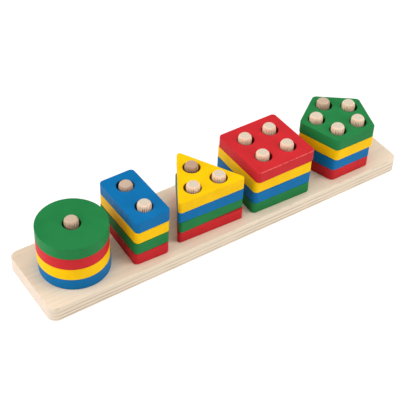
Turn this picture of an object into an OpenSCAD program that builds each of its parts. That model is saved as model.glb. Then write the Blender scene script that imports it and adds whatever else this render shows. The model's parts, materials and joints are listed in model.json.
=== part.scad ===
// Shape sorting board: a plywood board with fluted pegs, and painted plates that stack over the pegs.
// Millimetres. The board lies along X and stands on Z = 0, and the front edge faces -Y.

/* [Board] */
// Thickness of the board
board_t = 14.2; // [10:0.1:20]
// Radius of the board's corners, seen from above
board_corner_r = 8; // [3:0.5:20]
// Radius of the board's eased edges
board_edge_r = 1; // [0.5:0.1:2.5]
// Board left beyond the circle, at the left end
left_margin = 11.4; // [5:0.1:40]
// Board left beyond the pentagon, at the right end
right_margin = 18.6; // [5:0.1:40]
// Board left in front of the deepest plate, and behind it
side_margin = 6.4; // [3:0.1:30]
// Gap between the circle and the rectangle
circle_rectangle_gap = 12.4; // [5:0.1:40]
// Gap between the rectangle and the triangle
rectangle_triangle_gap = 10.7; // [5:0.1:40]
// Gap between the triangle and the square
triangle_square_gap = 10.6; // [5:0.1:40]
// Gap between the square and the pentagon
square_pentagon_gap = 12.9; // [5:0.1:40]

/* [Plates] */
// Thickness of every plate
plate_t = 11.4; // [6:0.1:18]
// Radius of the plates' eased edges
plate_edge_r = 0.6; // [0.2:0.1:2]
// Diameter of the circle
circle_d = 59.3; // [40:0.1:80]
// Width of the rectangle, along the board
rectangle_w = 32.8; // [24:0.1:60]
// Depth of the rectangle, across the board
rectangle_d = 60.2; // [50:0.1:80]
// Side of the triangle, between its corners before they are rounded
triangle_side = 67.4; // [60:0.1:90]
// Side of the square
square_side = 60.4; // [48:0.1:80]
// Side of the pentagon, between its corners before they are rounded
pentagon_side = 41.5; // [36:0.1:55]
// Radius of the rectangle's corners, seen from above
rectangle_corner_r = 3.7; // [1:0.1:8]
// Radius of the triangle's corners, seen from above
triangle_corner_r = 2.6; // [1:0.1:8]
// Radius of the square's corners, seen from above
square_corner_r = 3.7; // [1:0.1:8]
// Radius of the pentagon's corners, seen from above
pentagon_corner_r = 4.2; // [1:0.1:8]

/* [Pegs] */
// Diameter of a peg over its flutes
peg_d = 12; // [8:0.1:14]
// Height of a peg above the top plate
peg_proud = 4.6; // [2:0.1:12]
// How unevenly the pegs stand: 0 for all alike, 1 as photographed
peg_uneven = 1; // [0:0.1:1]
// Bevel at both ends of a peg
peg_bevel = 1.6; // [0.3:0.1:1.8]
// Depth of a peg's socket in the board
socket_depth = 8; // [4:0.1:9]
// Flutes round a peg
flutes = 24; // [12:1:28]
// Depth of a flute
flute_depth = 0.35; // [0.1:0.05:0.45]
// Radius of a flute's round bottom
flute_r = 0.55; // [0.45:0.05:0.6]
// Distance between the rectangle's pegs
rectangle_peg_gap = 29.1; // [20:0.1:32]
// Distance between neighbouring pegs of the triangle
triangle_peg_gap = 25.6; // [20:0.1:28]
// Distance between neighbouring pegs of the square
square_peg_gap = 25.9; // [20:0.1:28]
// Distance between neighbouring pegs of the pentagon
pentagon_peg_gap = 22.7; // [19:0.1:25]

/* [Fits] */
// Clearance round a peg in a plate's hole, on the radius
plate_play = 1.5; // [0.5:0.1:1.8]
// Least gap between a peg and a plate as the plate lies
seat_gap = 0.3; // [0.1:0.05:0.4]
// Glue gap round a peg in its socket, on the radius
glue_gap = 0.05; // [0.02:0.01:0.1]

/* [Hidden] */
$fn = 72;
corner_fn = 32;
arc_steps = 3;
fillet_share = 0.9;
cut_over = 1;

// The stacks from left to right. Each plate, bottom one first, has its paint and its seat: how far it lies
// off centre along X and Y and how far it is turned, as shares of its play. Length of (X, Y) plus turn is
// at most 1, so that no plate touches a peg.
STACKS = [
    ["circle", [
        ["blue", 0.4, -0.6, 0],
        ["yellow", -0.2, -0.7, 0],
        ["red", -0.3, -0.6, 0],
        ["green", -0.3, -0.8, 0]]],
    ["rectangle", [
        ["red", -0.3, 0, -0.5],
        ["green", -0.6, 0.4, 0],
        ["yellow", -0.2, 0.7, 0],
        ["blue", 0, 0.7, 0.1]]],
    ["triangle", [
        ["red", 0.2, 0.2, -0.5],
        ["green", 0.2, 0.7, 0],
        ["blue", -0.2, 0.1, -0.5],
        ["yellow", -0.4, -0.2, -0.3]]],
    ["square", [
        ["green", -0.2, -0.2, -0.5],
        ["blue", -0.4, -0.4, -0.2],
        ["yellow", 0, 0, -0.3],
        ["red", 0.5, -0.4, 0.1]]],
    ["pentagon", [
        ["red", -0.6, 0.4, 0],
        ["blue", -0.6, 0.3, 0],
        ["yellow", 0.6, -0.4, 0],
        ["green", 0.2, -0.5, -0.2]]]];
// How far each peg stands above or below peg_proud when peg_uneven is 1
PEG_STANDS = [
    [-0.4],
    [0.2, -1.3],
    [-0.5, -0.7, -0.7],
    [-0.1, 0, 0.3, 0],
    [0.4, 0.5, 0.2, 0.6, 0.5]];
stack_gaps = [circle_rectangle_gap, rectangle_triangle_gap, triangle_square_gap, square_pentagon_gap];
stack_range = [0 : len(STACKS) - 1];

function shape(s) = STACKS[s][0];
function plates(s) = STACKS[s][1];

// A regular figure with one flat side to the front, from the length of its side
function regular(count, side) = [
    for (i = [0 : count - 1])
        let (angle = -90 + (i - 0.5) * 360 / count)
        side / 2 / sin(180 / count) * [cos(angle), sin(angle)]];

function across(w, d) = [[-w, -d] / 2, [w, -d] / 2, [w, d] / 2, [-w, d] / 2];

// Corners of a plate's outline before rounding; the circle is one point with a large radius
function corners(s) =
    shape(s) == "rectangle" ? across(rectangle_w, rectangle_d) :
    shape(s) == "triangle" ? regular(3, triangle_side) :
    shape(s) == "square" ? regular(4, square_side) :
    shape(s) == "pentagon" ? regular(5, pentagon_side) :
    [[0, 0]];

function corner_r(s) =
    shape(s) == "rectangle" ? rectangle_corner_r :
    shape(s) == "triangle" ? triangle_corner_r :
    shape(s) == "square" ? square_corner_r :
    shape(s) == "pentagon" ? pentagon_corner_r :
    circle_d / 2;

function peg_points(s) =
    shape(s) == "rectangle" ? [[0, -rectangle_peg_gap / 2], [0, rectangle_peg_gap / 2]] :
    shape(s) == "triangle" ? regular(3, triangle_peg_gap) :
    shape(s) == "square" ? regular(4, square_peg_gap) :
    shape(s) == "pentagon" ? regular(5, pentagon_peg_gap) :
    [[0, 0]];

// Centres of the rounded corners: each corner moved in until both of its sides lie r away
function inward(a, b) = let (d = (b - a) / norm(b - a)) [-d.y, d.x];
function inset(points, r) = len(points) == 1 ? points : [
    for (i = [0 : len(points) - 1])
        let (
            before = points[(i + len(points) - 1) % len(points)],
            after = points[(i + 1) % len(points)],
            n1 = inward(before, points[i]),
            n2 = inward(points[i], after))
        points[i] + r * (n1 + n2) / (1 + n1 * n2)];

function xs(points) = [for (p = points) p.x];
function ys(points) = [for (p = points) p.y];
function half_width(s) = max(xs(inset(corners(s), corner_r(s)))) + corner_r(s);
function front(s) = min(ys(inset(corners(s), corner_r(s)))) - corner_r(s);
function back(s) = max(ys(inset(corners(s), corner_r(s)))) + corner_r(s);

// The board follows the stacks: it is as long as their row and as wide as the deepest plate
function row_end(s) = (s == 0 ? left_margin : row_end(s - 1) + stack_gaps[s - 1]) + 2 * half_width(s);
last_stack = len(STACKS) - 1;
board_l = row_end(last_stack) + right_margin;
board_w = max([for (s = stack_range) back(s) - front(s)]) + 2 * side_margin;
function stack_at(s) = [row_end(s) - half_width(s) - board_l / 2, -(front(s) + back(s)) / 2];

most_plates = max([for (s = stack_range) len(plates(s))]);
function peg_length(s, i) =
    socket_depth + most_plates * plate_t + peg_proud + peg_uneven * PEG_STANDS[s][i];
hole_d = peg_d + 2 * plate_play;
socket_d = peg_d + 2 * glue_gap;
socket_floor = board_t - socket_depth;
free_play = plate_play - seat_gap;
peg_reach = [for (s = stack_range) norm(peg_points(s)[0])];

function turn(s, share) = peg_reach[s] > 0 ? share * free_play / peg_reach[s] * 180 / PI : 0;
function peg_name(s, i) =
    len(peg_points(s)) > 1 ? str(shape(s), "_peg_", i + 1) : str(shape(s), "_peg");
function plate_name(s, k) = str(shape(s), "_plate_", plates(s)[k][0]);

function paint(name) =
    name == "red" ? "#d42a33" :
    name == "yellow" ? "#fbc70e" :
    name == "blue" ? "#0f70b8" :
    "#228a4c";

// Half section of a slab with eased edges, from its middle out to the reach
function eased_section(reach, thick, edge_r) = concat(
    [[0, thick], [0, 0]],
    [for (i = [0 : arc_steps])
        let (a = -90 + 90 * i / arc_steps) [reach - edge_r, edge_r] + edge_r * [cos(a), sin(a)]],
    [for (i = [0 : arc_steps])
        let (a = 90 * i / arc_steps) [reach - edge_r, thick - edge_r] + edge_r * [cos(a), sin(a)]]);

// Round slab with eased edges
module puck(r, thick, edge_r) {
    rotate_extrude() polygon(eased_section(r, thick, edge_r));
}

// Slab with rounded corners and eased edges, stretched over one puck at each corner
module eased_slab(points, r, thick, edge_r) {
    edge = min(edge_r, r * fillet_share, thick / 2 * fillet_share);
    if (len(points) == 1) puck(r, thick, edge);
    else hull() for (c = inset(points, r)) translate(c) puck(r, thick, edge, $fn = corner_fn);
}

module base_board() {
    color("#e6d3b4") difference() {
        eased_slab(across(board_l, board_w), board_corner_r, board_t, board_edge_r);
        for (s = stack_range, p = peg_points(s))
            translate([each stack_at(s) + p, socket_floor])
                cylinder(d = socket_d, h = socket_depth + cut_over);
    }
}

// Dowel with flutes along it and both ends bevelled
module peg(s, i) {
    r = peg_d / 2;
    end_r = r - peg_bevel;
    length = peg_length(s, i);
    color("#ecd9c0") translate([each stack_at(s) + peg_points(s)[i], socket_floor]) intersection() {
        linear_extrude(length) difference() {
            circle(r);
            for (f = [0 : flutes - 1])
                rotate(f * 360 / flutes) translate([r + flute_r - flute_depth, 0]) circle(flute_r);
        }
        rotate_extrude() polygon([
            [0, 0], [end_r, 0], [r, peg_bevel],
            [r, length - peg_bevel], [end_r, length], [0, length]]);
    }
}

// Painted plate, k plates up its stack, with a hole over each of the stack's pegs
module plate(s, k) {
    seat = plates(s)[k];
    color(paint(seat[0]))
        translate([each stack_at(s) + free_play * [seat[1], seat[2]], board_t + k * plate_t])
            rotate(turn(s, seat[3])) difference() {
                eased_slab(corners(s), corner_r(s), plate_t, plate_edge_r);
                for (p = peg_points(s))
                    translate([each p, -cut_over]) cylinder(d = hole_d, h = plate_t + 2 * cut_over);
            }
}

base_board();
for (s = stack_range, i = [0 : len(peg_points(s)) - 1])
    peg(s, i);
for (s = stack_range, k = [0 : len(plates(s)) - 1])
    plate(s, k);
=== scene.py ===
# %% [markdown]
# # A shape sorting board
# The real toy is a plywood board with rows of fluted wooden pegs. Painted plates with matching holes lie
# stacked over the pegs: discs on one peg, rectangles on two, triangles on three, squares on four and
# pentagons on five. The frame already holds every piece at its real size and place. This lesson dresses
# them one kind at a time: measure a piece in the frame, work out a finer surface with numpy, and mix a
# finish from shader nodes.

# %% Load the frame
import json
import math

import bpy
import numpy as np
from mathutils import Matrix, Vector
from mathutils.geometry import delaunay_2d_cdt


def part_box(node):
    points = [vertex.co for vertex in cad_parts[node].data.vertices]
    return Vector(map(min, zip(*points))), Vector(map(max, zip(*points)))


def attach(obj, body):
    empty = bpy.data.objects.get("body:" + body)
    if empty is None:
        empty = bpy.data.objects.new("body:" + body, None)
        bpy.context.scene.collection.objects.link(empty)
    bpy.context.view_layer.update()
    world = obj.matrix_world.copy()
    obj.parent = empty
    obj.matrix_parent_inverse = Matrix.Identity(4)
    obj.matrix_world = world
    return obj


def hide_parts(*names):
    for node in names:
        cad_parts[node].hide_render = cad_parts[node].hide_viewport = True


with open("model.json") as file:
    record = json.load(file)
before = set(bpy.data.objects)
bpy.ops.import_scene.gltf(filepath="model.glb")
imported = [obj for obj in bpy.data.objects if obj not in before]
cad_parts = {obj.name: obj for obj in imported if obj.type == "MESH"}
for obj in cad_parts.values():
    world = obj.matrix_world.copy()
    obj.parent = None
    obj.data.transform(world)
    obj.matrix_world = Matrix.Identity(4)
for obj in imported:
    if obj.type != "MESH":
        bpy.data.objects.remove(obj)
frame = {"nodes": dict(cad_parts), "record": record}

MM = 0.001
scene = bpy.context.scene
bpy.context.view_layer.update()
bodies = frame["record"]["behaviour"]["bodies"]
body_of = {node: body for body, members in bodies.items() for node in members}
slot_of = {part["node"]: part["material_slot"] for part in frame["record"]["subparts"]}

# %% [markdown]
# ## Camera
# The picture looks down on the board from beyond its front left corner, with a long lens, so that the
# stacks hardly taper. A camera can be aimed by hand or with a constraint. Here three turns are multiplied
# instead: pitch about the camera's own X, yaw about the vertical, and a small roll about the line of sight.

# %% Camera
EYE = np.array([-407.2, -555.7, 644.9]) * MM
YAW = math.radians(35.21)
PITCH = math.radians(42.36)
ROLL = math.radians(2.44)
LENS = 96.5

aim = Matrix.Rotation(-YAW, 4, "Z") @ Matrix.Rotation(math.pi / 2 - PITCH, 4, "X")
camera_data = bpy.data.cameras.new("picture_view")
camera_data.lens = LENS
camera = bpy.data.objects.new("picture_view", camera_data)
camera.matrix_world = Matrix.Translation(EYE) @ aim @ Matrix.Rotation(ROLL, 4, "Z")
scene.collection.objects.link(camera)
scene.camera = camera
print("camera", round(float(np.linalg.norm(EYE)), 3), "m from the board's middle, lens", LENS, "mm")

# %% [markdown]
# ## Light
# Small goods are often photographed between large white cloths. One bright cloth on the left, one in front
# on the right and a wide one overhead light the toy here, as square area lights. Because they are large,
# the shade between the stacks has no hard border, and the board there stays light. A dim grey world fills
# in what the cloths leave dark, yet looks as pale as the far floor where a low view shows it. The Standard
# view shows the paints just as they are mixed, where the usual view would soften them.

# %% Light
WHITE = (1, 1, 1, 1)
FILL_GREY = 0.05
SEEN_GREY = 0.86
LIT_POINT = Vector((0, 0, 0.03))
# Each cloth: its place and width in metres, and its power in watts.
CLOTHS = {
    "left_cloth": ((-1.9, 0.3, 0.9), 2.4, 54.5),
    "right_cloth": ((1.0, -1.1, 0.8), 1.0, 13.4),
    "top_cloth": ((0.5, 0.05, 1.7), 2.4, 29.5)}


def cloth_light(name, place, width, power):
    """Square area light at a place in metres, turned to face the toy."""
    data = bpy.data.lights.new(name, "AREA")
    data.size = width
    data.energy = power
    light = bpy.data.objects.new(name, data)
    turn = (LIT_POINT - Vector(place)).to_track_quat("-Z", "Y")
    light.matrix_world = Matrix.Translation(place) @ turn.to_matrix().to_4x4()
    scene.collection.objects.link(light)


scene.view_settings.view_transform = "Standard"
world = bpy.data.worlds.new("grey_room")
world.use_nodes = True
room = world.node_tree.nodes["Background"]
room.inputs["Color"].default_value = WHITE
rays = world.node_tree.nodes.new("ShaderNodeLightPath")
level = world.node_tree.nodes.new("ShaderNodeMapRange")
level.inputs["To Min"].default_value = FILL_GREY
level.inputs["To Max"].default_value = SEEN_GREY
world.node_tree.links.new(rays.outputs["Is Camera Ray"], level.inputs["Value"])
world.node_tree.links.new(level.outputs["Result"], room.inputs["Strength"])
scene.world = world
for name, (place, width, power) in CLOTHS.items():
    cloth_light(name, place, width, power)
print(len(CLOTHS), "cloths of light")

# %% [markdown]
# ## Floor
# The toy stands on a sheet of white card, a hair below the board so that the two faces never fight. One
# square is enough. Photographers light such a card from below, which takes away the shadows on it, so the
# card here is a grey sheet that glows white by itself.

# %% Floor
FLOOR_HALF = 3.0
FLOOR_DROP = 0.05 * MM
CARD_GREY = (0.4, 0.4, 0.4, 1)
CARD_ROUGH = 0.8
CARD_GLOW = 0.68

card = bpy.data.materials.new("white_card")
card.use_nodes = True
card_shader = card.node_tree.nodes["Principled BSDF"]
card_shader.inputs["Base Color"].default_value = CARD_GREY
card_shader.inputs["Roughness"].default_value = CARD_ROUGH
card_shader.inputs["Emission Color"].default_value = WHITE
card_shader.inputs["Emission Strength"].default_value = CARD_GLOW

sides = FLOOR_HALF * np.array([[-1, -1], [1, -1], [1, 1], [-1, 1]])
floor_mesh = bpy.data.meshes.new("floor")
floor_mesh.from_pydata([(x, y, -FLOOR_DROP) for x, y in sides], [], [(0, 1, 2, 3)])
floor_mesh.materials.append(card)
floor = bpy.data.objects.new("floor", floor_mesh)
scene.collection.objects.link(floor)
print("floor", 2 * FLOOR_HALF, "m wide")

# %% [markdown]
# ## Eased edges
# Board and plates are sawn from sheet and their edges are sanded round. A bevelled block could show that,
# but a profile carried round a path says more with less: the path is the outline seen from above, and the
# profile is the edge seen in section. A hole is the same edge carried clockwise round a circle, where
# outward means towards the axis. Each part made this way is a set of points, their true normals, and faces.

# %% Eased edges
EASE_STEPS = 6


def ring(middle, radius, steps, clockwise=False):
    """Circle as a path: points and outward directions. Clockwise it is a hole, with outward to its axis."""
    angle = np.arange(steps) * 2 * math.pi / steps * (-1 if clockwise else 1)
    away = np.stack([np.cos(angle), np.sin(angle)], axis=1)
    return middle + radius * away, -away if clockwise else away


def slab_profile(low, high, ease, band):
    """Section of a slab's edge: a flat band on top, a quarter round, the side, a quarter round and a band
    below. Columns: how far outward, how high, and the normal's outward and upward parts."""
    angle = np.linspace(0, math.pi / 2, EASE_STEPS + 1)
    lean, rise = np.sin(angle), np.cos(angle)
    upper = np.column_stack([ease * (lean - 1), high + ease * (rise - 1), lean, rise])
    lower = upper[::-1] * [1, -1, 1, -1] + [0, low + high, 0, 0]
    top_band = [[-ease - band, high, 0, 1]]
    low_band = [[-ease - band, low, 0, -1]]
    return np.vstack([top_band, upper, lower, low_band])


def grid_faces(rows, columns):
    """Corner numbers of a grid's faces. Each row closes on itself: after its last point comes its first."""
    index = np.arange(rows * columns).reshape(rows, columns)
    after = np.roll(index, -1, axis=1)
    return np.stack([index[:-1], index[1:], after[1:], after[:-1]], axis=-1).reshape(-1, 4)


def carry(path, profile):
    """Profile carried round a path: every path point goes outward and up by what each profile row says."""
    points, outward = path
    out, up, lean, rise = profile.T[:, :, None, None]
    level = np.ones((len(profile), len(points), 1))
    grid = np.dstack([points + out * outward, up * level])
    normals = np.dstack([lean * outward, rise * level])
    return grid.reshape(-1, 3), normals.reshape(-1, 3), grid_faces(len(profile), len(points))


def rim_of(part, path, row):
    """One row of a carried part, seen from above."""
    return part[0].reshape(-1, len(path[0]), 3)[row, :, :2]


print("an eased edge turns in", EASE_STEPS, "steps")

# %% [markdown]
# ## Flat faces with holes
# Between an outline's rim and the rims of its holes lies one flat face. A many-sided face cannot have holes
# in Blender, and bridging them by hand is slow. Delaunay triangulation fills the space between given rings
# with the roundest triangles it can, and those that fall inside a hole are dropped.

# %% Flat faces with holes
WELD = 1e-6


def closed_edges(start, count):
    """Point numbers of the edges of one closed ring."""
    index = np.arange(count)
    return start + np.column_stack([index, np.roll(index, -1)])


def flat_face(rings, height, facing_up):
    """Flat face at a height, inside the first ring and outside the others, which are round holes. A
    triangle whose middle is nearer to a hole's middle than the hole's rim is dropped, and the rest wind
    one way."""
    points = np.vstack(rings)
    starts = np.cumsum([0] + [len(rim) for rim in rings[:-1]])
    edges = np.vstack([closed_edges(start, len(rim)) for start, rim in zip(starts, rings)])
    made = delaunay_2d_cdt(points.tolist(), edges.tolist(), [], 1, WELD)
    given = np.array([sources[0] for sources in made[3]])
    triangles = given[np.array(made[2])]
    for rim in rings[1:]:
        hole = rim.mean(axis=0)
        away = np.hypot(*(points[triangles].mean(axis=1) - hole).T)
        triangles = triangles[away > np.hypot(*(rim[0] - hole))]
    a, b, c = np.moveaxis(points[triangles], 1, 0)
    is_left_turn = (b - a)[:, 0] * (c - a)[:, 1] > (b - a)[:, 1] * (c - a)[:, 0]
    wrong = is_left_turn != facing_up
    triangles[wrong] = triangles[wrong][:, ::-1]
    normals = np.tile([0, 0, 1.0 if facing_up else -1.0], (len(points), 1))
    place = np.column_stack([points, np.full(len(points), height)])
    return place, normals, triangles[:, [0, 1, 2, 2]]


print("flat faces weld within", WELD, "m")

# %% [markdown]
# ## From parts to a piece
# Edges and flat faces share their rims, so welding points on the same spot closes the skin, and it also
# closes the seam of a grid and the pole of a socket's floor. A face whose corners fall together becomes a
# triangle. Since every edge is rounded, each point has one true normal. Blender would guess normals from
# the faces and shade the flats unevenly, so the true ones are given. A piece then takes over its node's
# body and gets its finish.

# %% From parts to a piece
SHARP_FROM = math.radians(30)


def weld(parts):
    """Joins parts. Points that round to one spot become one, and faces lose corners that fall together."""
    points = np.concatenate([part[0] for part in parts])
    normals = np.concatenate([part[1] for part in parts])
    starts = np.cumsum([0] + [len(part[0]) for part in parts[:-1]])
    faces = np.vstack([part[2] + start for part, start in zip(parts, starts)])
    spots = np.round(points / WELD).astype(np.int64)
    first, index = np.unique(spots, axis=0, return_index=True, return_inverse=True)[1:]
    faces = index.reshape(-1)[faces]
    doubled = faces == np.roll(faces, -1, axis=1)
    three = doubled.sum(axis=1) == 1
    triangles = faces[three][~doubled[three]].reshape(-1, 3)
    return points[first], normals[first], faces[~doubled.any(axis=1)], triangles


def open_edges(*face_sets):
    """Number of edges that do not join exactly two faces: none on a closed skin."""
    pairs = [np.stack([faces, np.roll(faces, -1, axis=1)], axis=-1).reshape(-1, 2) for faces in face_sets]
    counts = np.unique(np.sort(np.vstack(pairs), axis=1), axis=0, return_counts=True)[1]
    return int((counts != 2).sum())


def make_piece(name, node, parts, material, rounded=True):
    """Object from parts, in place of a node. Rounded pieces get their true normals, others sharp edges."""
    points, normals, quads, triangles = weld(parts)
    mesh = bpy.data.meshes.new(name)
    mesh.from_pydata(points.tolist(), [], quads.tolist() + triangles.tolist())
    mesh.shade_smooth()
    if rounded:
        mesh.normals_split_custom_set_from_vertices(normals.tolist())
    else:
        mesh.set_sharp_from_angle(angle=SHARP_FROM)
    mesh.materials.append(material)
    piece = bpy.data.objects.new(name, mesh)
    scene.collection.objects.link(piece)
    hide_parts(node)
    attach(piece, body_of[node])
    print(name, len(quads) + len(triangles), "faces,", open_edges(quads, triangles), "open edges")
    return mesh, points, normals


def keep_value(mesh, name, values):
    """Keeps a number on every point of a mesh, for its material to read."""
    layer = mesh.attributes.new(name, "FLOAT", "POINT")
    layer.data.foreach_set("value", np.broadcast_to(values, len(mesh.vertices)).astype(np.float32))


print("edges count as sharp from", round(math.degrees(SHARP_FROM)), "degrees")

# %% [markdown]
# ## Shader nodes in short
# A finish is a small tree of shader nodes. Written socket by socket it would hide the idea, so one helper
# adds a node and feeds it, and a few more make the usual steps short. Patterns read Object coordinates. All
# finished pieces sit at the origin, so these are places on the toy, and no two plates get the same grain.

# %% Shader nodes in short
EVEN = (1.0, 1.0, 1.0)
RELIEF_STRENGTH = 0.3


def add(tree, kind, inputs, **options):
    """Shader node of a kind, its options set, and its inputs fed by numbers, colours or other nodes."""
    made = tree.nodes.new("ShaderNode" + kind)
    for key, value in options.items():
        setattr(made, key, value)
    for key, value in inputs.items():
        if isinstance(value, bpy.types.NodeSocket):
            tree.links.new(value, made.inputs[key])
        else:
            made.inputs[key].default_value = value
    return made


def new_finish(name, **sockets):
    """New material with constant sockets set on its shader: the material, its tree and its shader."""
    material = bpy.data.materials.new(name)
    material.use_nodes = True
    shader = material.node_tree.nodes["Principled BSDF"]
    for key, value in sockets.items():
        shader.inputs[key.replace("_", " ")].default_value = value
    return material, material.node_tree, shader


def grain(tree, stretch, per_metre, detail):
    """Noise of so many grains to the metre, drawn out along an axis where its stretch is below 1."""
    place = add(tree, "TexCoord", {}).outputs["Object"]
    drawn = add(tree, "Mapping", {"Vector": place, "Scale": stretch}).outputs["Vector"]
    return add(tree, "TexNoise", {"Vector": drawn, "Scale": per_metre, "Detail": detail}).outputs["Fac"]


def fade(tree, value, start, end, low=0.0, high=1.0):
    """Smooth change from low to high while a value goes from start to end."""
    inputs = {"Value": value, "From Min": start, "From Max": end, "To Min": low, "To Max": high}
    return add(tree, "MapRange", inputs, interpolation_type="SMOOTHSTEP").outputs["Result"]


def reckon(tree, operation, first, second=0.0):
    """One step of arithmetic on values."""
    return add(tree, "Math", {0: first, 1: second}, operation=operation).outputs[0]


def mix(tree, share, first, second):
    """Colour between two, by a share from 0 to 1."""
    return add(tree, "Mix", {0: share, 6: first, 7: second}, data_type="RGBA").outputs[2]


def tint(colour, factor=1.0):
    """Colour with an alpha of 1, made darker or lighter by a factor."""
    return (*(min(1.0, part * factor) for part in colour), 1.0)


def finish_with(tree, shader, colour, relief, depth):
    """Feeds a colour to a shader, and a pattern as relief of a depth."""
    tree.links.new(colour, shader.inputs["Base Color"])
    bump = add(tree, "Bump", {"Height": relief, "Strength": RELIEF_STRENGTH, "Distance": depth})
    tree.links.new(bump.outputs["Normal"], shader.inputs["Normal"])


print("relief strength", RELIEF_STRENGTH)

# %% [markdown]
# ## Plywood
# Plywood is thin sheets of wood glued crosswise. Its face shows long faint streaks and short dark pores.
# The long edges are darkened a little below the face's tone as painted shade. On them two thin dark lines
# are the sheets cut across their grain, and a third near the lower edge is painted shade. At the ends the
# pale sheets are the ones cut across, so the ends are duller still. Sanding the upper edge has gone through
# the face here and there. An image of plywood would stretch on the edges, while a pattern in space cuts the
# board as a saw does: height places the lines, and the way a surface faces tells edge, end and face apart.

# %% Plywood
VENEER = (0.842, 0.705, 0.546)
# Colour of the dark lines: cross sheets, and painted shade in the lowest line.
CROSS_SHEET_AND_SHADE = (0.36, 0.28, 0.21)
END_SHEET = (0.69, 0.575, 0.475)
SANDED_THROUGH = (0.52, 0.40, 0.30)
# Each dark line: its depth below the face, and how dark it is. The two upper lines are cross sheets; the
# lowest is painted shade along the lower eased edge.
PLY_AND_SHADE_LINES = {4.6 * MM: 0.8, 8.6 * MM: 0.9, 11.8 * MM: 1.0}
BAND_HALF = 0.36 * MM
BAND_SOFT = 0.2 * MM
BAND_WAVER = 0.25 * MM
# Painted shade on the long edges: their darker tone, and how much of it they take.
EDGE_SHADE_TONE = 0.88
EDGE_SHADE_SHARE = 0.4
VENEER_RELIEF = 0.06 * MM
# Each pattern: its stretch along X, Y and Z, its grains to the metre, and its detail.
WAVER = ((1.0, 1.0, 0.2), 40, 2.0)
PATCHES = (EVEN, 30, 2.0)
DASHES = ((0.3, 1.0, 1.0), 170, 3.0)
FACE_STREAKS = ((0.05, 1.0, 1.0), 260, 5.0)
FACE_PORES = ((0.06, 1.0, 1.0), 1500, 2.0)
FACE_CLOUDS = ((0.4, 1.0, 1.0), 25, 2.0)
board_low, board_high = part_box("base_board")


def facing(tree, axis):
    """How far a surface faces along an axis, from -1 to 1."""
    normal = add(tree, "TexCoord", {}).outputs["Normal"]
    return add(tree, "SeparateXYZ", {"Vector": normal}).outputs[axis]


def ply_and_shade_bands(tree):
    """Share of the dark lines, two of cross sheet and one of painted shade: high where the height, with a
    slight waver, lies in a band.
    """
    place = add(tree, "TexCoord", {}).outputs["Object"]
    height = add(tree, "SeparateXYZ", {"Vector": place}).outputs["Z"]
    waver = fade(tree, grain(tree, *WAVER), 0.3, 0.7, -BAND_WAVER, BAND_WAVER)
    wavy = reckon(tree, "ADD", height, waver)
    share = None
    for depth, dark in PLY_AND_SHADE_LINES.items():
        away = reckon(tree, "ABSOLUTE", reckon(tree, "SUBTRACT", wavy, board_high.z - depth))
        band = fade(tree, away, BAND_HALF + BAND_SOFT, BAND_HALF - BAND_SOFT, 0.0, dark)
        share = band if share is None else reckon(tree, "ADD", share, band)
    patchy = fade(tree, grain(tree, *PATCHES), 0.35, 0.65, 0.45, 1.0)
    return reckon(tree, "MULTIPLY", share, patchy)


def sanded_edge(tree):
    """Share of face sanded through: dashes on the upper edge, where the surface faces half upward."""
    upward = facing(tree, "Z")
    edge = reckon(tree, "MULTIPLY", fade(tree, upward, 0.3, 0.5), fade(tree, upward, 0.97, 0.85))
    dashes = fade(tree, grain(tree, *DASHES), 0.5, 0.62, 0.0, 0.75)
    return reckon(tree, "MULTIPLY", edge, dashes)


def plywood():
    """Pale veneer with streaks and pores along X, painted shade and dark lines on long edges, dull ends."""
    material, tree, shader = new_finish("birch_plywood", Roughness=0.62, Specular_IOR_Level=0.15)
    streaks = grain(tree, *FACE_STREAKS)
    pores = grain(tree, *FACE_PORES)
    clouds = grain(tree, *FACE_CLOUDS)
    face = mix(tree, fade(tree, streaks, 0.35, 0.65), tint(VENEER, 0.95), tint(VENEER, 1.04))
    face = mix(tree, fade(tree, clouds, 0.5, 0.7, 0.0, 0.6), face, tint(VENEER, 0.92))
    face = mix(tree, fade(tree, pores, 0.64, 0.74, 0.0, 0.45), face, tint(VENEER, 0.72))
    face = mix(tree, sanded_edge(tree), face, tint(SANDED_THROUGH))
    endwise = reckon(tree, "ABSOLUTE", facing(tree, "X"))
    sidewise = reckon(tree, "ABSOLUTE", facing(tree, "Y"))
    bands = reckon(tree, "MULTIPLY", ply_and_shade_bands(tree), fade(tree, endwise, 0.3, 0.95, 1.0, 0.3))
    # Surfaces facing along Y, the long edges, are darkened: painted shade.
    face = mix(tree, fade(tree, sidewise, 0.5, 0.95, 0.0, EDGE_SHADE_SHARE), face, tint(VENEER, EDGE_SHADE_TONE))
    face = mix(tree, fade(tree, endwise, 0.5, 0.95), face, tint(END_SHEET))
    finish_with(tree, shader, mix(tree, bands, face, tint(CROSS_SHEET_AND_SHADE)), streaks, VENEER_RELIEF)
    return material


birch = plywood()
print("plywood", round((board_high.z - board_low.z) / MM, 1), "mm thick with", len(PLY_AND_SHADE_LINES), "dark lines")

# %% [markdown]
# ## Measuring the board
# The board's own points give its size, its corners and its eased edges. Half the length, half the width and
# the farthest reach from the middle fix the corner radius by Pythagoras. The front side's upper end shows
# how much of the edge is rounded. A circle is fitted to the points round one peg to find the sockets'
# radius: x squared plus y squared is a sum of x, y and 1 with fixed shares, so one least squares solution
# does it.

# %% Measuring the board
TOUCH = 0.02 * MM
RIM_SEARCH = 1.6


def points_of(node):
    """All points of a node, one row of x, y, z each."""
    mesh = frame["nodes"][node].data
    flat = np.empty(3 * len(mesh.vertices), np.float32)
    mesh.vertices.foreach_get("co", flat)
    return flat.reshape(-1, 3).astype(float)


def middle_of(node):
    """Middle of a node's box, seen from above."""
    low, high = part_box(node)
    return np.array((low + high) / 2)[:2]


def ease_of(points):
    """Radius of a slab's eased edges: how far below the top the straight part of its front side ends."""
    front = points[:, 1] < points[:, 1].min() + TOUCH
    return points[:, 2].max() - points[front, 2].max()


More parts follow.
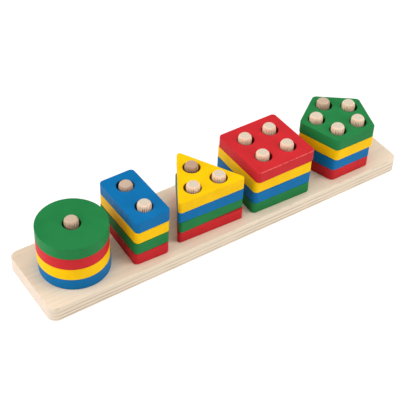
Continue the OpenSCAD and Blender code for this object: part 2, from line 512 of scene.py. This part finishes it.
def fit_circle(points):
    """Middle and radius of the circle that fits points best."""
    table = np.column_stack([points, np.ones(len(points))])
    answer = np.linalg.lstsq(table, (points**2).sum(axis=1), rcond=None)[0]
    middle = answer[:2] / 2
    return middle, math.sqrt(answer[2] + middle @ middle)


def near(points, axis, reach):
    """Those points that lie within a reach of an upright axis."""
    return points[np.hypot(*(points[:, :2] - axis).T) < reach]


def rectangle_figure(plan):
    """Corners and corner radius of a rounded rectangle about the origin, from its points seen from above.
    With half sides a and b and reach c, the radius r solves (c - r)^2 = (a - r)^2 + (b - r)^2."""
    half_sides = np.abs(plan).max(axis=0)
    reach = np.hypot(*plan.T).max()
    spare = half_sides.sum() - reach
    radius = spare - math.sqrt(spare**2 - (half_sides**2).sum() + reach**2)
    return half_sides * np.array([[-1, -1], [1, -1], [1, 1], [-1, 1]]), radius


peg_nodes = [node for node in bodies["board"] if "_peg" in node]
board_points = points_of("base_board")
board_corners, board_corner_r = rectangle_figure(board_points[:, :2])
peg_r = (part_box(peg_nodes[0])[1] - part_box(peg_nodes[0])[0]).x / 2
socket_points = near(board_points, middle_of(peg_nodes[0]), RIM_SEARCH * peg_r)
socket_r = fit_circle(socket_points[:, :2])[1]
print("board corner radius", round(board_corner_r / MM, 2), "mm, edges",
      round(ease_of(board_points) / MM, 2), "mm, sockets", round(2 * socket_r / MM, 2), "mm across")

# %% [markdown]
# ## The board
# A slab edge runs round the board's outline, each peg has a socket, and two flat faces close the skin. A
# socket is a carried profile too: over a soft rim, down the wall, and across the floor to a pole in the
# middle. Cutting the sockets with a boolean would leave ragged shading round them.

# %% The board
CORNER_STEPS = 12
BOARD_BAND = 2.0 * MM
SOCKET_EASE = 0.2 * MM
SOCKET_BAND = 0.8 * MM
SOCKET_STEPS = 48


def rounded_path(corners, radius):
    """Figure with equal turns as a path: at each corner an arc, its middle a radius inside both sides."""
    along = np.roll(corners, -1, axis=0) - corners
    along /= np.linalg.norm(along, axis=1, keepdims=True)
    side = np.column_stack([along[:, 1], -along[:, 0]])
    side_before = np.roll(side, 1, axis=0)
    shared = 1 + (side * side_before).sum(axis=1, keepdims=True)
    middles = corners - radius * (side + side_before) / shared
    first = np.arctan2(side_before[:, 1], side_before[:, 0])
    angle = first[:, None] + np.linspace(0, 2 * math.pi / len(corners), CORNER_STEPS + 1)
    away = np.stack([np.cos(angle), np.sin(angle)], axis=-1)
    return (middles[:, None] + radius * away).reshape(-1, 2), away.reshape(-1, 2)


outline = rounded_path(board_corners, board_corner_r)
edge = carry(outline, slab_profile(board_low.z, board_high.z, ease_of(board_points), BOARD_BAND))
socket_floor = socket_points[:, 2].min()
mouth = slab_profile(socket_floor, board_high.z, SOCKET_EASE, SOCKET_BAND)[:EASE_STEPS + 2]
socket_profile = np.vstack([mouth, [[0, socket_floor, 1, 0], [socket_r, socket_floor, 0, 1]]])
socket_paths = [ring(middle_of(node), socket_r, SOCKET_STEPS, clockwise=True) for node in peg_nodes]
sockets = [carry(path, socket_profile) for path in socket_paths]
mouths = [rim_of(socket, path, 0) for socket, path in zip(sockets, socket_paths)]
top = flat_face([rim_of(edge, outline, 0)] + mouths, board_high.z, True)
underside = flat_face([rim_of(edge, outline, -1)], board_low.z, False)
make_piece("plywood_board", "base_board", [edge, *sockets, top, underside], birch)
print("sockets", len(sockets), "of", round((board_high.z - socket_floor) / MM, 1), "mm depth")

# %% [markdown]
# ## Dowel wood
# The pegs are cut from bare fluted dowel rod. Along the rod the wood shows fine streaks, and the sawn end
# shows growth rings and pores and is a little duller. The bevel between them is freshly cut and pale. One
# finish serves all three, told apart by how far the surface faces up. Rods come from different trees, so
# each peg keeps a tone of its own, from pale to brown.

# %% Dowel wood
DOWEL_ROD = (0.97, 0.74, 0.55)
DOWEL_BEVEL = (0.91, 0.68, 0.52)
DOWEL_END = (0.665, 0.555, 0.43)
DOWEL_BROWN = (0.44, 0.265, 0.175)
RINGS_SCALE = 140.0
END_PORES = ((1.0, 1.0, 0.1), 1800, 2.0)
ROD_STREAKS = ((1.0, 1.0, 0.06), 900, 4.0)
DOWEL_RELIEF = 0.1 * MM


def dowel_wood():
    """Streaked wood along Z with rings and pores on the ends, browner where the tone is high."""
    material, tree, shader = new_finish("dowel_wood", Roughness=0.6, Specular_IOR_Level=0.15)
    place = add(tree, "TexCoord", {}).outputs["Object"]
    upward = facing(tree, "Z")
    ring_inputs = {"Vector": place, "Scale": RINGS_SCALE, "Distortion": 6.0, "Detail": 3.0}
    rings = add(tree, "TexWave", ring_inputs, wave_type="RINGS", rings_direction="Z").outputs["Fac"]
    pores = grain(tree, *END_PORES)
    streaks = grain(tree, *ROD_STREAKS)
    end = mix(tree, rings, tint(DOWEL_END, 0.95), tint(DOWEL_END, 1.05))
    end = mix(tree, fade(tree, pores, 0.6, 0.75, 0.0, 0.4), end, tint(DOWEL_END, 0.75))
    rod = mix(tree, fade(tree, streaks, 0.3, 0.7), tint(DOWEL_ROD, 0.93), tint(DOWEL_ROD, 1.05))
    wood = mix(tree, fade(tree, upward, 0.3, 0.5), rod, tint(DOWEL_BEVEL))
    wood = mix(tree, fade(tree, upward, 0.9, 0.99), wood, end)
    tone = add(tree, "Attribute", {}, attribute_name="tone").outputs["Fac"]
    stain = reckon(tree, "MULTIPLY", tone, fade(tree, streaks, 0.3, 0.7, 0.75, 1.0))
    finish_with(tree, shader, mix(tree, stain, wood, tint(DOWEL_BROWN)), streaks, DOWEL_RELIEF)
    return material


beech = dowel_wood()
print("dowel finish", beech.name)

# %% [markdown]
# ## The pegs
# A peg is one surface, a radius over angle and height: the rod's radius less a groove at every flute, and
# never more than the bevel allows near an end. The bevel curves into the rod, as tumbling leaves it.
# Spinning a profile could not make the flutes, and cutting them from a cylinder would be slower and no
# rounder. The pegs are not all hammered in equally far, and the frame knows how far each one stands out.

# %% The pegs
FLUTES = 24
FLUTE_SAMPLES = 8
GROOVE_SHARE = 0.2
BEVEL_TALL = 2.1
BEVEL_START = math.radians(42)
BEVEL_STEPS = 8
END_RINGS = np.array([0, 0.5, 0.85])
SHAFT_RINGS = 6
# How brown a peg is, from 0 to 1. Those not named here are pale.
PALE_PEG = 0.02
BROWN_PEGS = {"triangle_peg_3": 0.95, "pentagon_peg_4": 0.62, "circle_peg": 0.55, "rectangle_peg_2": 0.6}


def measure_peg(node):
    """Radius of a peg's flat end, from its topmost points, and flute depth, from its least reach."""
    points = points_of(node)
    reach = np.hypot(*(points[:, :2] - middle_of(node)).T)
    on_top = points[:, 2] > points[:, 2].max() - TOUCH
    on_floor = points[:, 2] < points[:, 2].min() + TOUCH
    return reach[on_top].max(), peg_r - reach[~on_top & ~on_floor].min()


def fluted_peg(middle, low, high, end_r, flute_depth):
    """Grid of a radius over angle and height: the lesser of the grooved rod and the bevelled ends. A groove
    is a parabola across its share of a flute. A bevel is the last part of a quarter turn, stretched to its
    size: the radius grows with the sine while the height falls with the cosine."""
    angle = np.arange(FLUTES * FLUTE_SAMPLES) * 2 * math.pi / (FLUTES * FLUTE_SAMPLES)
    across = np.mod(angle * FLUTES / (2 * math.pi) + 0.5, 1) - 0.5
    groove = flute_depth * np.clip(1 - (across / GROOVE_SHARE) ** 2, 0, None)
    inset = peg_r - end_r
    tall = BEVEL_TALL * inset
    turn = np.linspace(BEVEL_START, math.pi / 2, BEVEL_STEPS + 1)
    spread = (np.sin(turn) - math.sin(BEVEL_START)) / (1 - math.sin(BEVEL_START))
    sink = 1 - np.cos(turn) / math.cos(BEVEL_START)
    half_r = np.concatenate([END_RINGS * end_r, end_r + inset * spread])
    half_drop = np.concatenate([np.zeros(len(END_RINGS)), tall * sink])
    shaft = np.linspace(high - tall, low + tall, SHAFT_RINGS)[1:-1]
    limit = np.concatenate([half_r, np.full(len(shaft), peg_r), half_r[::-1]])
    height = np.concatenate([high - half_drop, shaft, low + half_drop[::-1]])
    radius = np.minimum(peg_r - groove, limit[:, None])
    x, y = middle[0] + radius * np.cos(angle), middle[1] + radius * np.sin(angle)
    grid = np.dstack([x, y, np.broadcast_to(height[:, None], radius.shape)]).reshape(-1, 3)
    return grid, np.zeros_like(grid), grid_faces(*radius.shape)


end_r, flute_depth = measure_peg(peg_nodes[0])
for node in peg_nodes:
    low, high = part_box(node)
    part = fluted_peg(middle_of(node), low.z, high.z, end_r, flute_depth)
    mesh = make_piece("fluted_" + node, node, [part], beech, rounded=False)[0]
    keep_value(mesh, "tone", BROWN_PEGS.get(node, PALE_PEG))
print("pegs", round(2 * peg_r / MM, 1), "mm across, flat end", round(2 * end_r / MM, 1), "mm, flutes",
      round(flute_depth / MM, 2), "mm deep")

# %% [markdown]
# ## Paint
# The plates are dipped in satin paint. It is even, but the colour drifts a little, the wood below shows as
# a faint grain, and the hole walls are darkened as painted shade of the deep gap round the pegs. On one
# plate a thin broken lighter line along the upper front edge is part rubbed paint and part painted
# highlight. Masks painted by hand would do, but numbers kept on each point follow edges and holes by
# themselves, and noise breaks the line up.

# %% Paint
PAINTS = {
    "green_paint": (0.0167, 0.198, 0.0534),
    "red_paint": (0.566, 0.0211, 0.027),
    "yellow_paint": (0.923, 0.533, 0.0005),
    "blue_paint": (0.003, 0.148, 0.381)}
# Lighter red of the broken line on an upper front edge: part wear, part painted highlight.
WEAR_AND_HIGHLIGHT = (0.90, 0.24, 0.19)
# How dark the painted shade on the hole walls is, as a factor on the paint.
HOLE_SHADE_FACTOR = 0.4
DRIFT = (EVEN, 55, 3.0)
FIBRES = ((0.12, 1.0, 1.0), 700, 4.0)
BREAKS = (EVEN, 330, 4.0)
SATIN = (EVEN, 300, 3.0)
SMOOTHEST = 0.36
ROUGHEST = 0.48
PAINT_RELIEF = 0.06 * MM


def satin_paint(name, colour):
    """Paint: drifting tone, faint grain, painted shade in holes, lighter dashes of wear and painted
    highlight.
    """
    material, tree, shader = new_finish("satin_" + name, Specular_IOR_Level=0.06)
    drift = grain(tree, *DRIFT)
    fibres = grain(tree, *FIBRES)
    paint = mix(tree, fade(tree, drift, 0.3, 0.7), tint(colour, 0.95), tint(colour, 1.05))
    # A broken lighter line on one front edge: part wear, part painted highlight.
    wear_and_highlight = add(tree, "Attribute", {}, attribute_name="wear_and_highlight").outputs["Fac"]
    broken = fade(tree, grain(tree, *BREAKS), 0.3, 0.6)
    paint = mix(tree, reckon(tree, "MULTIPLY", wear_and_highlight, broken), paint, tint(WEAR_AND_HIGHLIGHT))
    # Hole walls darkened: painted shade of the deep gap round the peg.
    painted_hole_shade = add(tree, "Attribute", {}, attribute_name="painted_hole_shade").outputs["Fac"]
    paint = mix(tree, painted_hole_shade, paint, tint(colour, HOLE_SHADE_FACTOR))
    finish_with(tree, shader, paint, fibres, PAINT_RELIEF)
    satin = fade(tree, grain(tree, *SATIN), 0.3, 0.7, SMOOTHEST, ROUGHEST)
    tree.links.new(satin, shader.inputs["Roughness"])
    return material


paints = {name: satin_paint(name, colour) for name, colour in PAINTS.items()}
print(len(paints), "paints")

# %% [markdown]
# ## Where a plate lies
# A plate lies loose on its pegs, a little off centre and a little turned. Its holes give both away: their
# mean is the plate's middle, and the turn is the one that carries the pegs' pattern onto theirs. In the
# plate's own directions its outline is then easy to read: the flat front gives the size, and the farthest
# point the corners.

# %% Where a plate lies
DISC_STEPS = 160


def place_of(holes, pegs):
    """Middle of the holes and the turn from the pegs' pattern to theirs: the turn's tangent is the sum of
    cross products over the sum of dot products. Its matrix brings the board's directions to the plate's."""
    arms, found = pegs - pegs.mean(axis=0), holes - holes.mean(axis=0)
    turn = math.atan2((arms[:, 0] * found[:, 1] - arms[:, 1] * found[:, 0]).sum(), (arms * found).sum())
    cosine, sine = math.cos(turn), math.sin(turn)
    return holes.mean(axis=0), np.array([[cosine, sine], [-sine, cosine]])


def regular_figure(plan, count):
    """Corners and corner radius of a rounded regular figure with a flat front, from its points. A corner is
    as far out as the front side, divided by the cosine of half the turn at a corner. Rounding by a radius
    takes away that radius times what the same division adds to 1."""
    widen = 1 / math.cos(math.pi / count)
    corner_reach = -plan[:, 1].min() * widen
    angle = 2 * math.pi / count * (np.arange(count) - 0.5) - math.pi / 2
    radius = (corner_reach - np.hypot(*plan.T).max()) / (widen - 1)
    return corner_reach * np.stack([np.cos(angle), np.sin(angle)], axis=1), radius


def plate_outline(plan, count):
    """Outline of a plate with so many pegs, as a path."""
    if count == 1:
        return ring(np.zeros(2), np.hypot(*plan.T).max(), DISC_STEPS)
    return rounded_path(*(rectangle_figure(plan) if count == 2 else regular_figure(plan, count)))


def shape_of(node):
    """Shape that a plate or peg belongs to: the first word of its name."""
    return node.split("_")[0]


plate_nodes = [node for node in frame["nodes"] if "_plate_" in node]
pegs_of = {node: np.array([middle_of(peg) for peg in peg_nodes if shape_of(peg) == shape_of(node)])
           for node in plate_nodes}
print(len(plate_nodes), "plates on", sorted({len(pegs) for pegs in pegs_of.values()}), "pegs")

# %% [markdown]
# ## The plates
# Each plate is built in its own directions, from a slab edge round its outline, the same edge round each
# hole, and two flat faces, and is then turned and moved to where it lies. Nothing is typed in: a plate that
# lies askew in the frame lies askew here. A hair of air stays under each plate, far too thin to see,
# because two faces in one plane would flicker through each other.

# %% The plates
PLATE_BAND = 1.5 * MM
HOLE_EASE = 0.35 * MM
HOLE_BAND = 0.8 * MM
HOLE_STEPS = 64
REST_HAIR = 0.02 * MM
# How strong the line of wear and painted highlight on the front edge is, from 0 to 1, on plates that have
# it.
WEAR_AND_HIGHLIGHT_PLATES = {"square_plate_red": 0.8}


def painted_plate(points, pegs):
    """Parts of a plate: edge grids with flat faces between their rims, turned and moved into place. With
    them come the middles of its holes and their radius."""
    fits = [fit_circle(near(points, peg, RIM_SEARCH * peg_r)[:, :2]) for peg in pegs]
    holes = np.array([middle for middle, radius in fits])
    hole_r = np.mean([radius for middle, radius in fits])
    middle, turn = place_of(holes, pegs)
    own = np.column_stack([(points[:, :2] - middle) @ turn.T, points[:, 2]])
    low, high = own[:, 2].min() + REST_HAIR, own[:, 2].max()
    outline = plate_outline(own[:, :2], len(pegs))
    hole_paths = [ring(hole, hole_r, HOLE_STEPS, clockwise=True) for hole in (holes - middle) @ turn.T]
    edge = carry(outline, slab_profile(low, high, ease_of(own), PLATE_BAND))
    walls = [carry(path, slab_profile(low, high, HOLE_EASE, HOLE_BAND)) for path in hole_paths]
    parts = [edge, *walls]
    for row, height, facing_up in ((0, high, True), (-1, low, False)):
        rims = [rim_of(wall, path, row) for wall, path in zip(walls, hole_paths)]
        parts.append(flat_face([rim_of(edge, outline, row)] + rims, height, facing_up))
    for places, normals, faces in parts:
        places[:, :2] = places[:, :2] @ turn + middle
        normals[:, :2] = normals[:, :2] @ turn
    return parts, holes, hole_r


def hole_share(points, holes, hole_r):
    """How far points lie in a hole: 0 where its eased rim begins, and 1 on its wall."""
    reach = np.linalg.norm(points[:, None, :2] - holes, axis=2).min(axis=1)
    return np.clip((hole_r + HOLE_EASE - reach) / HOLE_EASE, 0, 1)


for node in plate_nodes:
    parts, holes, hole_r = painted_plate(points_of(node), pegs_of[node])
    mesh, points, normals = make_piece("painted_" + node, node, parts, paints[slot_of[node]])
    # The upper front edge, facing forward and up, carries the line of wear and painted highlight.
    front_edge = 2 * np.clip(-normals[:, 1], 0, None) * np.clip(normals[:, 2], 0, None)
    keep_value(mesh, "wear_and_highlight", WEAR_AND_HIGHLIGHT_PLATES.get(node, 0.0) * front_edge)
    # The hole share marks where the painted shade in the holes goes.
    keep_value(mesh, "painted_hole_shade", hole_share(points, holes, hole_r))
print(len(plate_nodes), "plates painted")

# %% [markdown]
# ## Last lines

# %% Last lines
print("dressing finished")
